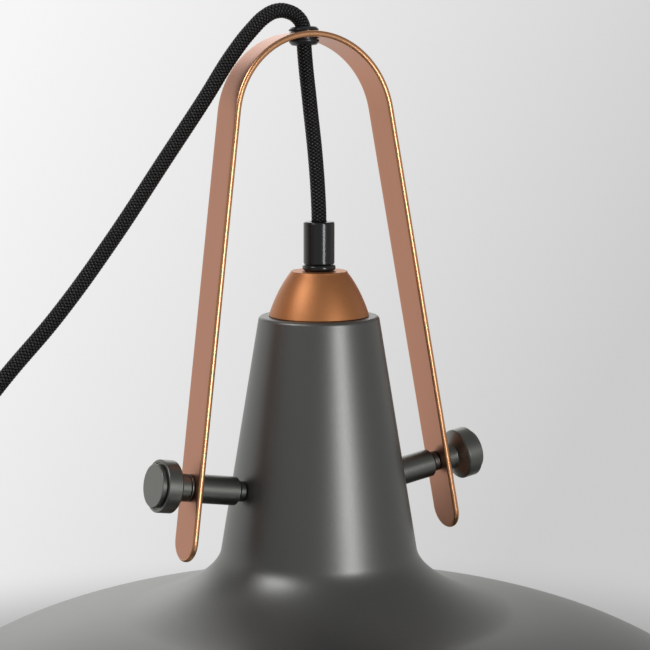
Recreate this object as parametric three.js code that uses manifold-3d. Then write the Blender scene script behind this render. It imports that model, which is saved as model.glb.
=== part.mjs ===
// A hanging lamp head, standing on the rim of its shade.
//
// A spun steel shade (narrow cone neck, wide shallow dome) carries a copper
// cap and a cord grip on its top, a lampholder and a bulb inside it, and a
// copper strap bail that tilts on two studs and is clamped by turned knobs.
// The cord rises from the grip through a grommet in the bail, loops over and
// runs down to a coil and a ceiling canopy beside the shade.
//
// Millimetres, +Z up. The origin is the shade's axis in the plane of the rim.
// X runs through the two knobs, and the left knob is at -X.

import * as THREE from "three";
import { mergeVertices } from "three/addons/utils/BufferGeometryUtils.js";
import Module from "manifold-3d";

const wasm = await Module();
wasm.setup();

// ---------------------------------------------------------------- dimensions

const gap = 0.3; // left between pieces that touch
const fullTurn = 2 * Math.PI;
const rad = THREE.MathUtils.degToRad;

const shade = {
  wall: 1.5,
  rimRadius: 200, // outside of the rim
  rimBand: 4.5, // straight band above the rim plane
  hemWidth: 4, // flat that the shade stands on
  domeRise: 73.5, // height of the dome's ellipse above the band
  neckTopZ: 206.1,
  neckTopRadius: 27.07,
  neckAngle: 9.3, // half angle of the neck's cone, degrees
  lipRadius: 1.6,
  flareTopZ: 99, // where the neck starts to flare into the dome
  flareFootRadius: 89.6, // where the flare ends on the dome
  flarePull: [0.62, 0.36], // how far its handles reach towards the corner, at its top and its foot
};

const cap = { baseRadius: 22.6, topRadius: 12.9, height: 20, bulge: 1.3, wall: 1.2, topEdge: 0.7 };
const cord = { radius: 3.45, clearance: 0.35 };
const nipple = { radius: 5, wall: 1.4, inside: 16 }; // inside: its length below the neck's top
const nippleNut = { acrossFlats: 14, height: 4.5 };
const lockWasher = { radius: 8.5, height: 1, teeth: 10, toothDepth: 1.2 };
const collar = { radius: 7.5, height: 2.6, edge: 1 };
const grip = { radius: 7, height: 19, threadDepth: 7.4, edge: 1, step: 1 };

const holder = {
  capTopRadius: 11,
  radius: 20,
  wall: 2.2,
  capHeight: 25,
  shoulder: 13, // height of the cap's sloping shoulder
  edge: 2, // chamfers of the shoulder and the mouth
  bodyHeight: 32,
  floor: 3, // insulating floor above the screw shell
  wireHole: 2, // radius
};
const screwShell = { radius: 13.5, wall: 0.8, height: 23.5 };
const holderContact = { radius: 4, height: 1.5 };
const bulb = {
  capRadius: 13.1,
  capHeight: 22.5,
  capWall: 0.8,
  contactRadius: 4.6,
  contactHeight: 3,
  contactEdge: 0.8,
  insulatorRadius: 7.6, // foot of the contact, on the screw cap
  glassRadius: 30,
  ballAngle: 130, // from the bottom of the ball to where its shoulder starts, degrees
  glassNeckRadius: 12,
  glassNeckLength: 18,
  length: 78, // glass, below the screw cap
  wall: 1.2,
};

const stud = { radius: 3, inside: 10, intoKnob: 10 };
const spacer = { radius: 6.45, stepRadius: 4.6, stepLength: 2.8, chamfer: 1.2 };
const studNut = { acrossFlats: 10, height: 5 };
const studWasher = { radius: 6, height: 1.2 };
const wallDip = 0.5; // how far the curved neck wall dips under a flat washer

const bail = {
  width: 18.6,
  thickness: 2.8,
  pivotZ: 133.9, // both stud holes
  halfWidth: 66.2, // axis to outer face at the stud holes
  legAngle: 8.8, // splay of the legs, degrees
  archRadius: 41.2, // outer face of the arch
  below: 32.7, // stud hole to the end of a leg
  lean: 3.9, // back, from upright, degrees
  faceGap: 0.35, // to the spacer and the washer, so that it can tilt
};
const grommet = {
  boreRadius: 4.6,
  neckRadius: 5.9,
  flangeRadius: 6.8,
  edge: 1, // thickness of both flanges at their edge, and of the lips round the bore
  above: 1.7,
  below: 2.4,
};
const knobWasher = { radius: 6.15, height: 1 };
const knob = {
  hubRadius: 6.15,
  headRadius: 11.7,
  bossRadius: 9.6,
  length: 16.2, // hub face to boss face
  rim: 6.5, // length of the head's outer band
  cone: 3.2, // length of the head's back, down to the hub
  boss: 1.1, // height of the boss
  recess: 1.1, // from the boss's foot down to the front of the rim
  edge: 0.6,
  boreDepth: 10.5,
  drillPoint: 1.5,
};

const canopy = { x: -290, y: -128, radius: 50, height: 25, wall: 1.5, corner: 6, nippleInside: 8 };
const bracket = { length: 88, width: 16, thickness: 1.5, ear: 14, slotRadius: 2.4, slotX: 26 };
const canopyScrew = { radius: 2, headRadius: 4.5, headHeight: 3.5, headEdge: 0.6, length: 9, z: 9 };
const terminal = { length: 24, width: 15, height: 10 };
const coil = { x: -300, y: -27.4, turnRadius: 34.3, layers: 2, floorZ: 1.5, corner: 2 };
const tie = { thickness: 1, width: 9, angle: 200 };

// Where the cord runs between the grip and the coil, and from the coil to the
// canopy. The points are chosen by hand on one smooth line.
const cordRoute = [
  [0, 0, 248.7], [0, 0.4, 256], [0, 3, 276], [0, 8, 300], [0, 12.4, 321], [0, 13.6, 329.6],
  [-0.2, 13.8, 335], [-3, 13.8, 339.2], [-8.2, 13.8, 341.8], [-13.9, 13.8, 342],
  [-19.6, 13.8, 339.6], [-25.8, 13.8, 334.4], [-36, 13.7, 323.2], [-50.4, 13.6, 303.4],
  [-70, 13.5, 277.6], [-96, 13.4, 243.4], [-122, 13.2, 212.6], [-148, 13, 186.2],
  [-168, 12.6, 163.4], [-186, 12, 138.6], [-201, 11.4, 110], [-212, 10.9, 80],
  [-219, 10.5, 52], [-227, 10.2, 27.5], [-240, 10, 10.8], [-257, 10, 5], [-275.4, 10, 5],
];
const tailRoute = [
  [-275.4, -64.8, 7.9], [-262, -65.2, 4.6], [-246, -69, 4.4], [-232, -79, 6.8], [-225, -94, 17],
  [-227, -109, 35], [-236, -120, 54], [-251, -126.4, 68.6], [-268, -128, 74.4], [-282, -128, 70.2],
  [-289, -128, 59.6], [-290, -128, 44.8],
];

// ------------------------------------------------------------------- shaping

const through = 8; // how far a cutter passes the wall it cuts, on both sides

// A plain solid from any closed geometry: shared corners merged, slivers dropped, faces out.
function toSolid(geometry) {
  const plain = geometry.clone();
  plain.deleteAttribute("normal");
  plain.deleteAttribute("uv");
  const merged = mergeVertices(plain, 1e-4);
  const corners = merged.attributes.position.array;
  const triangles = [];
  let volume = 0;
  const index = merged.index.array;
  const [a, b, c] = [new THREE.Vector3(), new THREE.Vector3(), new THREE.Vector3()];
  for (let i = 0; i < index.length; i += 3) {
    const [p, q, r] = [index[i], index[i + 1], index[i + 2]];
    if (p === q || q === r || r === p) continue;
    triangles.push(p, q, r);
    b.fromArray(corners, 3 * q).cross(c.fromArray(corners, 3 * r));
    volume += a.fromArray(corners, 3 * p).dot(b);
  }
  if (volume < 0) triangles.reverse();
  const mesh = new wasm.Mesh({
    numProp: 3,
    vertProperties: new Float32Array(corners),
    triVerts: new Uint32Array(triangles),
  });
  return new wasm.Manifold(mesh);
}

function toGeometry(solid) {
  const mesh = solid.getMesh();
  const geometry = new THREE.BufferGeometry();
  geometry.setAttribute("position", new THREE.BufferAttribute(new Float32Array(mesh.vertProperties), 3));
  geometry.setIndex(new THREE.BufferAttribute(new Uint32Array(mesh.triVerts), 1));
  return geometry;
}

const tidy = (geometry) => toGeometry(toSolid(geometry));
const cut = (block, ...cutters) =>
  toGeometry(cutters.reduce((solid, cutter) => solid.subtract(toSolid(cutter)), toSolid(block)));

// Turns a list of [radius, height] round the Z axis. It closes on itself unless it meets the axis.
function turned(profile, segments = 22) {
  const points = profile.map(([r, z]) => new THREE.Vector2(r, z));
  const meetsAxis = profile[0][0] === 0 && profile.at(-1)[0] === 0;
  if (!meetsAxis) points.push(points[0].clone());
  return tidy(new THREE.LatheGeometry(points, segments).rotateX(Math.PI / 2));
}

const disc = (radius, low, high, segments) =>
  turned([[0, low], [radius, low], [radius, high], [0, high]], segments);
const ring = (inner, outer, low, high, segments) =>
  turned([[inner, low], [outer, low], [outer, high], [inner, high]], segments);

// Pushes a closed outline, drawn in X and Z, out to both sides of the XZ plane.
function plate(outline, width, holes = []) {
  const shape = outline instanceof THREE.Shape ? outline : new THREE.Shape(outline);
  shape.holes.push(...holes);
  const solid = new THREE.ExtrudeGeometry(shape, { depth: width, bevelEnabled: false, curveSegments: 10 });
  return tidy(solid.translate(0, 0, -width / 2).rotateX(Math.PI / 2));
}

function hexagon(acrossFlats) {
  const radius = acrossFlats / Math.sqrt(3);
  return Array.from({ length: 6 }, (_, i) => {
    const angle = (i * fullTurn) / 6;
    return new THREE.Vector2(radius * Math.cos(angle), radius * Math.sin(angle));
  });
}

// A hexagon nut round the Z axis, from low to high.
function nut(acrossFlats, boreRadius, low, high) {
  const shape = new THREE.Shape(hexagon(acrossFlats));
  const block = new THREE.ExtrudeGeometry(shape, { depth: high - low, bevelEnabled: false });
  return cut(block.translate(0, 0, low), disc(boreRadius, low - through, high + through));
}

// A round tube along a list of points.
function tube(route, radius, steps) {
  const points = route.map((p) => new THREE.Vector3(...p));
  const path = new THREE.CatmullRomCurve3(points, false, "centripetal");
  const section = new THREE.Shape();
  section.absarc(0, 0, radius, 0, fullTurn);
  const options = { steps, extrudePath: path, curveSegments: 4, bevelEnabled: false };
  return tidy(new THREE.ExtrudeGeometry(section, options));
}

const curvePoints = (curve, count) => curve.getPoints(count).map((p) => [p.x, p.y]);

// ----------------------------------------------------------------- materials

const finish = (color, roughness, metalness) => () =>
  new THREE.MeshStandardMaterial({ color, roughness, metalness });
const greyLacquer = finish(0x55565a, 0.42, 0.6);
const turnedSteel = finish(0x5f615c, 0.38, 0.85);
const brushedCopper = finish(0xb0785c, 0.36, 0.9);
const brass = finish(0xb8924e, 0.35, 0.95);
const zincSteel = finish(0x9a9c9c, 0.4, 0.9);
const blackPlastic = finish(0x1d1f20, 0.35, 0);
const blackRubber = finish(0x18191b, 0.6, 0);
const blackBraid = finish(0x141415, 0.85, 0);
const opalGlass = finish(0xf2efe6, 0.25, 0);
const whitePlastic = finish(0xe6e4de, 0.5, 0);

const lamp = new THREE.Group();

function add(name, geometry, material, group = lamp) {
  const mesh = new THREE.Mesh(geometry, material());
  mesh.name = name;
  group.add(mesh);
}

// --------------------------------------------------------------------- shade

const neckSlope = Math.tan(rad(shade.neckAngle));
const neckRadiusAt = (z) => shade.neckTopRadius + neckSlope * (shade.neckTopZ - z);

// The shade's line from the neck down to the rim band, moved inwards by an inset.
function shadeLine(inset) {
  const coneInset = inset / Math.cos(rad(shade.neckAngle));
  const cone = (z) => neckRadiusAt(z) - coneInset;
  const [across, rise] = [shade.rimRadius - inset, shade.domeRise - inset];
  const footAngle = Math.asin(shade.flareFootRadius / across);
  const dome = (angle) => [across * Math.sin(angle), shade.rimBand + rise * Math.cos(angle)];
  const [footR, footZ] = dome(footAngle);
  const footSlope = -(rise / across) * Math.tan(footAngle);
  const coneAtZero = cone(0);
  const cornerR = (coneAtZero - neckSlope * (footZ - footSlope * footR)) / (1 + neckSlope * footSlope);
  const cornerZ = footZ + footSlope * (cornerR - footR);
  const flareTop = new THREE.Vector2(cone(shade.flareTopZ), shade.flareTopZ);
  const corner = new THREE.Vector2(cornerR, cornerZ);
  const flareFoot = new THREE.Vector2(footR, footZ);
  const [topPull, footPull] = shade.flarePull;
  const flare = new THREE.CubicBezierCurve(
    flareTop,
    flareTop.clone().lerp(corner, topPull),
    flareFoot.clone().lerp(corner, footPull),
    flareFoot,
  );
  const [flareSteps, domeSteps] = [7, 7];
  const line = curvePoints(flare, flareSteps);
  for (let i = 1; i <= domeSteps; i++) {
    line.push(dome(footAngle + ((Math.PI / 2 - footAngle) * i) / domeSteps));
  }
  return line;
}

const plateLowZ = shade.neckTopZ - shade.wall;
const nippleHole = nipple.radius + gap;
const lipCentreR = neckRadiusAt(shade.neckTopZ) - shade.lipRadius;
const lip = new THREE.QuadraticBezierCurve(
  new THREE.Vector2(lipCentreR, shade.neckTopZ),
  new THREE.Vector2(neckRadiusAt(shade.neckTopZ), shade.neckTopZ),
  new THREE.Vector2(neckRadiusAt(shade.neckTopZ - shade.lipRadius), shade.neckTopZ - shade.lipRadius),
);
const innerNeckTop = neckRadiusAt(plateLowZ) - shade.wall / Math.cos(rad(shade.neckAngle));
const shadeProfile = [
  [nippleHole, shade.neckTopZ],
  ...curvePoints(lip, 3),
  ...shadeLine(0),
  [shade.rimRadius, 0],
  [shade.rimRadius - shade.hemWidth, 0],
  [shade.rimRadius - shade.hemWidth, shade.rimBand - shade.wall],
  ...shadeLine(shade.wall).reverse(),
  [innerNeckTop, plateLowZ],
  [nippleHole, plateLowZ],
];

// The studs stand square to the neck. Heights in a stud's own frame are measured out from the wall.
const studRise = rad(shade.neckAngle);
const wallX = (() => {
  const axisAtCentre = bail.pivotZ - bail.halfWidth * neckSlope;
  return (shade.neckTopRadius + neckSlope * (shade.neckTopZ - axisAtCentre)) / (1 + neckSlope ** 2);
})();
const wallZ = bail.pivotZ - (bail.halfWidth - wallX) * neckSlope;
const strapOuter = (bail.halfWidth - wallX) / Math.cos(studRise);
const strapInner = strapOuter - bail.thickness;

// Moves a piece from a stud's own frame to the left (-1) or right (+1) side of the neck.
function placeOnSide(object, side) {
  object.rotation.y = side * (Math.PI / 2 - studRise);
  object.position.set(side * wallX, 0, wallZ);
  object.updateMatrix();
  return object;
}

const studHoles = [-1, 1].map((side) => {
  const drill = disc(stud.radius + gap, -through, through, 20);
  return drill.applyMatrix4(placeOnSide(new THREE.Object3D(), side).matrix);
});
add("shade_shell", cut(turned(shadeProfile, 40), ...studHoles), greyLacquer);

// ------------------------------------------------- copper cap and cord grip

const capLowZ = shade.neckTopZ + gap;
const capTopZ = capLowZ + cap.height;
const capMiddle = [(cap.baseRadius + cap.topRadius) / 2 + cap.bulge, (capLowZ + capTopZ) / 2 + cap.bulge];
function capLine(inset) {
  const line = new THREE.QuadraticBezierCurve(
    new THREE.Vector2(cap.baseRadius - inset, capLowZ),
    new THREE.Vector2(capMiddle[0] - inset, capMiddle[1]),
    new THREE.Vector2(cap.topRadius - inset, capTopZ - cap.topEdge),
  );
  return curvePoints(line, 4);
}
const capProfile = [
  [cap.topRadius - cap.wall, capTopZ],
  [nippleHole, capTopZ],
  [nippleHole, capTopZ - cap.wall],
  [cap.topRadius - 2 * cap.wall, capTopZ - cap.wall],
  ...capLine(cap.wall).slice(0, -1).reverse(),
  ...capLine(0),
];
add("top_cap", turned(capProfile, 24), brushedCopper);

const collarLowZ = capTopZ + gap;
const collarHighZ = collarLowZ + collar.height;
const collarProfile = [
  [nippleHole, collarLowZ],
  [collar.radius - collar.edge, collarLowZ],
  [collar.radius, collarLowZ + collar.edge],
  [collar.radius, collarHighZ - collar.edge],
  [collar.radius - collar.edge, collarHighZ],
  [nippleHole, collarHighZ],
];
add("grip_collar", turned(collarProfile), blackPlastic);

// A cord grip screwed over the end of a threaded tube: wide thread below, cord bore above.
function cordGrip(low) {
  const cordBore = cord.radius + cord.clearance;
  const high = low + grip.height;
  return turned([
    [nippleHole, low],
    [grip.radius, low],
    [grip.radius, high - grip.edge],
    [grip.radius - grip.edge / 3, high - grip.edge / 3],
    [grip.radius - grip.edge, high],
    [cordBore, high],
    [cordBore, low + grip.threadDepth + grip.step],
    [nippleHole, low + grip.threadDepth],
  ]);
}
const gripLowZ = collarHighZ + gap;
add("cord_grip", cordGrip(gripLowZ), blackPlastic);

const nippleBore = nipple.radius - nipple.wall;
const nippleHighZ = gripLowZ + grip.threadDepth - gap;
const nippleTube = ring(nippleBore, nipple.radius, shade.neckTopZ - nipple.inside, nippleHighZ);
add("threaded_nipple", nippleTube, zincSteel);

const washerHighZ = plateLowZ - gap;
const washerLowZ = washerHighZ - lockWasher.height;
function toothedWasher(high) {
  const shape = new THREE.Shape(
    Array.from({ length: 2 * lockWasher.teeth }, (_, i) => {
      const radius = lockWasher.radius - (i % 2) * lockWasher.toothDepth;
      const angle = (i * fullTurn) / (2 * lockWasher.teeth);
      return new THREE.Vector2(radius * Math.cos(angle), radius * Math.sin(angle));
    }),
  );
  const blank = new THREE.ExtrudeGeometry(shape, { depth: lockWasher.height, bevelEnabled: false });
  const low = high - lockWasher.height;
  return cut(blank.translate(0, 0, low), disc(nippleHole, low - through, high + through));
}
add("nipple_lock_washer", toothedWasher(washerHighZ), zincSteel);
const nutHighZ = washerLowZ - gap;
const nutLowZ = nutHighZ - nippleNut.height;
add("nipple_nut", nut(nippleNut.acrossFlats, nippleHole, nutLowZ, nutHighZ), zincSteel);

// ---------------------------------------------------- lampholder and bulb

const holderTopZ = nutLowZ - gap;
const holderSplitZ = holderTopZ - holder.capHeight;
const holderInner = holder.radius - holder.wall;
const shoulderZ = holderTopZ - holder.shoulder;
const holderCapProfile = [
  [nippleHole, holderTopZ],
  [holder.capTopRadius, holderTopZ],
  [holder.radius - holder.edge, shoulderZ + 2 * holder.edge],
  [holder.radius, shoulderZ],
  [holder.radius, holderSplitZ],
  [holderInner, holderSplitZ],
  [holderInner, shoulderZ],
  [holder.capTopRadius - holder.edge / 2, holderTopZ - holder.wall],
  [nippleHole, holderTopZ - holder.wall],
];
add("lampholder_cap", turned(holderCapProfile), blackPlastic);

const bodyHighZ = holderSplitZ - gap;
const bodyLowZ = bodyHighZ - holder.bodyHeight;
const shellHighZ = bodyHighZ - holder.floor - gap;
const shellLowZ = shellHighZ - screwShell.height;
const shellOuter = screwShell.radius + screwShell.wall;
const holderBodyProfile = [
  [holder.wireHole, bodyHighZ],
  [holder.radius, bodyHighZ],
  [holder.radius, bodyLowZ + holder.edge],
  [holder.radius - holder.edge, bodyLowZ],
  [shellOuter + gap, bodyLowZ],
  [shellOuter + gap, bodyHighZ - holder.floor],
  [holder.wireHole, bodyHighZ - holder.floor],
];
add("lampholder_body", turned(holderBodyProfile), blackPlastic);
add("lampholder_screw_shell", ring(screwShell.radius, shellOuter, shellLowZ, shellHighZ), brass);
const contactLowZ = shellHighZ - holderContact.height;
add("lampholder_contact", disc(holderContact.radius, contactLowZ, shellHighZ, 20), brass);

const bulbTopZ = contactLowZ - gap;
const bulbCapHighZ = bulbTopZ - bulb.contactHeight;
const bulbCapLowZ = bulbCapHighZ - bulb.capHeight;
const bulbContactProfile = [
  [0, bulbCapHighZ + gap],
  [bulb.insulatorRadius, bulbCapHighZ + gap],
  [bulb.contactRadius, bulbTopZ - bulb.contactEdge],
  [bulb.contactRadius - 2 * bulb.contactEdge, bulbTopZ],
  [0, bulbTopZ],
];
add("bulb_contact", turned(bulbContactProfile, 18), brass);
const glassHighZ = bulbCapLowZ - gap;
const glassLowZ = glassHighZ - bulb.length;
const glassCentreZ = glassLowZ + bulb.glassRadius;
const bulbCapInner = bulb.capRadius - bulb.capWall;
const bulbCapProfile = [
  [0, bulbCapHighZ - bulb.capWall],
  [bulbCapInner, bulbCapHighZ - bulb.capWall],
  [bulbCapInner, bulbCapLowZ],
  [bulb.capRadius, bulbCapLowZ],
  [bulb.capRadius, bulbCapHighZ],
  [0, bulbCapHighZ],
];
add("bulb_cap", turned(bulbCapProfile), zincSteel);

// The glass: a ball below and a neck that narrows into the screw cap.
function glassLine(inset) {
  const ballRadius = bulb.glassRadius - inset;
  const endAngle = rad(bulb.ballAngle);
  const line = [];
  const ballSteps = 6;
  for (let i = 0; i <= ballSteps; i++) {
    const angle = (endAngle * i) / ballSteps;
    line.push([ballRadius * Math.sin(angle), glassCentreZ - ballRadius * Math.cos(angle)]);
  }
  const ballEnd = new THREE.Vector2(...line.at(-1));
  const tangent = new THREE.Vector2(Math.cos(endAngle), Math.sin(endAngle));
  const neckEnd = new THREE.Vector2(bulb.glassNeckRadius - inset, glassHighZ);
  const shoulder = new THREE.CubicBezierCurve(
    ballEnd,
    ballEnd.clone().addScaledVector(tangent, bulb.glassNeckLength / 2),
    new THREE.Vector2(neckEnd.x, glassHighZ - bulb.glassNeckLength),
    neckEnd,
  );
  return [...line, ...curvePoints(shoulder, 4).slice(1)];
}
add("bulb_glass", turned([...glassLine(0), ...glassLine(bulb.wall).reverse()], 24), opalGlass);

// ------------------------------------------- studs, spacers, knobs (one side)

const bore = stud.radius + gap;
const spacerLow = gap;
const spacerHigh = strapInner - bail.faceGap;

// The spacer has a short step at one end. On the right side it is fitted the other way round.
function spacerProfile(stepAtWall) {
  const length = spacerHigh - spacerLow;
  const line = [
    [bore, 0],
    [spacer.stepRadius, 0],
    [spacer.stepRadius, spacer.stepLength],
    [spacer.radius - spacer.chamfer, spacer.stepLength],
    [spacer.radius, spacer.stepLength + spacer.chamfer],
    [spacer.radius, length],
    [bore, length],
  ];
  return stepAtWall
    ? line.map(([r, u]) => [r, spacerLow + u])
    : line.map(([r, u]) => [r, spacerHigh - u]);
}

const washerLow = strapOuter + bail.faceGap;
const washerHigh = washerLow + knobWasher.height;
const hubLow = washerHigh + gap;
const bossFace = hubLow + knob.length;
const rimFront = bossFace - knob.boss - knob.recess;
const rimBack = rimFront - knob.rim;
const knobProfile = [
  [bore, hubLow],
  [knob.hubRadius, hubLow],
  [knob.hubRadius, rimBack - knob.cone],
  [knob.headRadius - knob.edge, rimBack - knob.edge],
  [knob.headRadius, rimBack],
  [knob.headRadius, rimFront - knob.edge],
  [knob.headRadius - knob.edge, rimFront],
  [knob.bossRadius + knob.edge, rimFront],
  [knob.bossRadius + knob.edge, rimFront + knob.recess / 2],
  [knob.bossRadius, rimFront + knob.recess / 2],
  [knob.bossRadius, bossFace - knob.edge / 2],
  [knob.bossRadius - knob.edge / 2, bossFace],
  [0, bossFace],
  [0, hubLow + knob.boreDepth + knob.drillPoint],
  [bore, hubLow + knob.boreDepth],
];

for (const [name, side] of [["left", -1], ["right", 1]]) {
  const group = placeOnSide(new THREE.Group(), side);
  lamp.add(group);
  const put = (piece, geometry, material) => add(`${name}_${piece}`, geometry, material, group);
  put("stud", disc(stud.radius, -stud.inside, hubLow + stud.intoKnob - gap, 16), zincSteel);
  put("spacer", turned(spacerProfile(side < 0)), turnedSteel);
  const washerTop = -shade.wall - wallDip - gap;
  const washerFoot = washerTop - studWasher.height;
  put("stud_washer", ring(bore, studWasher.radius, washerFoot, washerTop), zincSteel);
  const nutTop = washerFoot - gap;
  put("stud_nut", nut(studNut.acrossFlats, bore, nutTop - studNut.height, nutTop), zincSteel);
  put("knob_washer", ring(bore, knobWasher.radius, washerLow, washerHigh), turnedSteel);
  put("knob", turned(knobProfile), turnedSteel);
}

// ---------------------------------------------------------------------- bail

// The strap is drawn upright with its stud holes at height 0, then leaned back.
const legAngle = rad(bail.legAngle);
const archCentre = (bail.halfWidth * Math.cos(legAngle) - bail.archRadius) / Math.sin(legAngle);
const endCentre = bail.below - bail.width / 2;

function strapLine(inset) {
  const radius = bail.archRadius - inset;
  const along = (distance, side) => [
    side * (bail.halfWidth - inset / Math.cos(legAngle) + distance * Math.tan(legAngle)),
    -distance,
  ];
  const line = [along(bail.below + bail.thickness, 1)];
  const archSteps = 20;
  for (let i = 0; i <= archSteps; i++) {
    const angle = legAngle + ((Math.PI - 2 * legAngle) * i) / archSteps;
    line.push([radius * Math.cos(angle), archCentre + radius * Math.sin(angle)]);
  }
  line.push(along(bail.below + bail.thickness, -1));
  return line;
}

const strapOutline = [...strapLine(0), ...strapLine(bail.thickness).reverse()];
const strap = plate(strapOutline.map(([x, z]) => new THREE.Vector2(x, z)), bail.width);

// Cutters in a leg's own frame: +Z out through the strap, +X up the leg.
function onLeg(geometry, side) {
  const frame = new THREE.Object3D();
  frame.rotation.y = side * (Math.PI / 2 - legAngle);
  frame.position.set(side * bail.halfWidth, 0, 0);
  frame.updateMatrix();
  return geometry.applyMatrix4(frame.matrix);
}
// What is left of a block past the leg's end, outside the round end itself.
function legEndCutter(side) {
  const block = new THREE.BoxGeometry(2 * bail.width, 2 * bail.width, 2 * through);
  const roundEnd = disc(bail.width / 2, -2 * through, 2 * through, 40);
  const trimmed = cut(block.translate(side * bail.width, 0, 0), roundEnd);
  return onLeg(trimmed.translate(side * endCentre, 0, 0), side);
}
const strapHole = stud.radius + 2 * gap;
const grommetHole = grommet.neckRadius + gap;
const crownZ = archCentre + bail.archRadius;
const strapPiece = cut(
  strap,
  legEndCutter(1),
  legEndCutter(-1),
  onLeg(disc(strapHole, -through, through, 24), 1),
  onLeg(disc(strapHole, -through, through, 24), -1),
  disc(grommetHole, crownZ - through, crownZ + through, 24),
);

const bailGroup = new THREE.Group();
bailGroup.position.z = bail.pivotZ;
bailGroup.rotation.x = -rad(bail.lean);
lamp.add(bailGroup);
add("bail", strapPiece, brushedCopper, bailGroup);

// The arch falls away inside the grommet's lower flange by this much.
const innerArch = bail.archRadius - bail.thickness;
const archDip = innerArch - Math.sqrt(innerArch ** 2 - grommet.flangeRadius ** 2);
const flangeLow = crownZ - bail.thickness - archDip - gap;
const flangeHigh = crownZ + gap;
const grommetProfile = [
  [grommet.boreRadius, flangeLow - grommet.below],
  [grommet.boreRadius + grommet.edge, flangeLow - grommet.below],
  [grommet.flangeRadius, flangeLow - grommet.edge],
  [grommet.flangeRadius, flangeLow],
  [grommet.neckRadius, flangeLow],
  [grommet.neckRadius, flangeHigh],
  [grommet.flangeRadius, flangeHigh],
  [grommet.boreRadius + grommet.edge, flangeHigh + grommet.above],
  [grommet.boreRadius, flangeHigh + grommet.above],
];
add("bail_grommet", turned(grommetProfile), blackRubber, bailGroup);

// ------------------------------------------------------ cord, coil and canopy

add("cord", tube(cordRoute, cord.radius, 60), blackBraid);
add("cord_tail", tube(tailRoute, cord.radius, 20), blackBraid);

// Two turns side by side in each layer, so the coil reaches one cord's width to each side.
const coilReach = 2 * cord.radius;
const coilHigh = coil.floorZ + 2 * cord.radius * coil.layers + 0.2;
const boxOutline = (x0, z0, x1, z1, corner) => [
  [x0 + corner, z0], [x1 - corner, z0], [x1, z0 + corner], [x1, z1 - corner],
  [x1 - corner, z1], [x0 + corner, z1], [x0, z1 - corner], [x0, z0 + corner],
];
const [coilInner, coilOuter] = [coil.turnRadius - coilReach, coil.turnRadius + coilReach];
const coilSection = boxOutline(coilInner, coil.floorZ, coilOuter, coilHigh, coil.corner);
add("cord_coil", turned(coilSection, 32).translate(coil.x, coil.y, 0), blackBraid);

// A strap closed round the coil's section. The coil curves inside the strap's straight width.
function coilTie() {
  const dip = tie.width ** 2 / (8 * coilInner);
  const half = coilReach + dip + gap;
  const [low, high] = [coil.floorZ - gap, coilHigh + gap];
  const loop = (grow) => {
    const outline = boxOutline(-half - grow, low - grow, half + grow, high + grow, coil.corner + grow / 2);
    return outline.map(([x, z]) => new THREE.Vector2(x, z));
  };
  return plate(loop(tie.thickness), tie.width, [new THREE.Path(loop(0))]);
}
const tieHolder = new THREE.Group();
tieHolder.position.set(
  coil.x + coil.turnRadius * Math.cos(rad(tie.angle)),
  coil.y + coil.turnRadius * Math.sin(rad(tie.angle)),
  0,
);
tieHolder.rotation.z = rad(tie.angle);
lamp.add(tieHolder);
add("coil_tie", coilTie(), blackRubber, tieHolder);

// The canopy stands mouth down. Heights are above the surface it stands on.
const canopyGroup = new THREE.Group();
canopyGroup.position.set(canopy.x, canopy.y, 0);
lamp.add(canopyGroup);
function canopyLine(inset) {
  const [radius, top] = [canopy.radius - inset, canopy.height - inset];
  const corner = new THREE.QuadraticBezierCurve(
    new THREE.Vector2(radius - canopy.corner, top),
    new THREE.Vector2(radius, top),
    new THREE.Vector2(radius, top - canopy.corner),
  );
  return [[nippleHole, top], ...curvePoints(corner, 3), [radius, 0]];
}
const canopyProfile = [...canopyLine(0), ...canopyLine(canopy.wall).reverse()];
const sideDrill = disc(canopyScrew.radius + gap, -canopy.radius - through, canopy.radius + through, 16)
  .rotateY(Math.PI / 2)
  .translate(0, 0, canopyScrew.z);
add("canopy_cup", cut(turned(canopyProfile, 30), sideDrill), greyLacquer, canopyGroup);

const canopyGripLow = canopy.height + gap;
add("canopy_grip", cordGrip(canopyGripLow), blackPlastic, canopyGroup);
const canopyCeiling = canopy.height - canopy.wall;
const canopyNippleLow = canopyCeiling - canopy.nippleInside;
const canopyNippleHigh = canopyGripLow + grip.threadDepth - gap;
const canopyNipple = ring(nippleBore, nipple.radius, canopyNippleLow, canopyNippleHigh);
add("canopy_nipple", canopyNipple, zincSteel, canopyGroup);
const canopyNutHigh = canopyCeiling - gap;
const canopyNut = nut(nippleNut.acrossFlats, nippleHole, canopyNutHigh - nippleNut.height, canopyNutHigh);
add("canopy_nut", canopyNut, zincSteel, canopyGroup);

// The steel strip that is screwed to the ceiling: flat, with an upturned ear at each end.
const bracketEnd = bracket.length / 2;
const earInner = bracketEnd - bracket.thickness;
const bracketHigh = gap + bracket.thickness;
const bracketOutline = [
  [-bracketEnd, gap], [bracketEnd, gap], [bracketEnd, bracket.ear], [earInner, bracket.ear],
  [earInner, bracketHigh], [-earInner, bracketHigh], [-earInner, bracket.ear], [-bracketEnd, bracket.ear],
].map(([x, z]) => new THREE.Vector2(x, z));
const bracketSlots = [-1, 1].map((side) =>
  disc(bracket.slotRadius, -through, through, 16).translate(side * bracket.slotX, 0, 0),
);
const strip = cut(plate(bracketOutline, bracket.width), sideDrill, ...bracketSlots);
add("canopy_bracket", strip, zincSteel, canopyGroup);

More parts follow.
